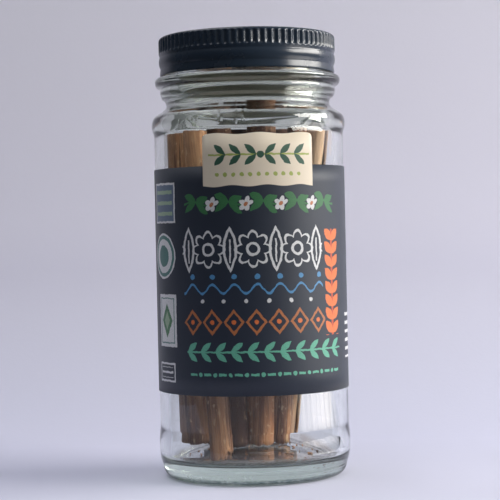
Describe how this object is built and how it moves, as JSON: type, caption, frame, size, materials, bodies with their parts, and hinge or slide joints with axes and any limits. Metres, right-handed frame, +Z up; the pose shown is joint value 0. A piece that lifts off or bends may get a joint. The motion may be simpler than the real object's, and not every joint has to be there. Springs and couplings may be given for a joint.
{
  "type": "jar of cinnamon sticks",
  "caption": "Clear glass spice jar with a fluted metal screw lid and a wrap-around paper label, holding upright cinnamon sticks.",
  "frame": {"origin": "centre of the flat ring that the jar stands on", "axes": "+Z up along the jar, -Y towards the middle of the printed side, +X to the right when seen from the front"},
  "size_m": [0.0484, 0.0484, 0.1096],
  "materials": {
    "clear_glass": "clear, smooth, faintly green where it is thick",
    "lid_lacquer": "black lacquer, satin gloss",
    "label_paper": "dark print with a soft sheen, cream tab",
    "cinnamon_bark": "dry bark with fine lengthwise streaks"
  },
  "bodies": {
    "root": {"jar": "clear_glass", "lid": "lid_lacquer", "label": "label_paper", "cinnamon_sticks": "cinnamon_bark"}
  },
  "joints": []
}
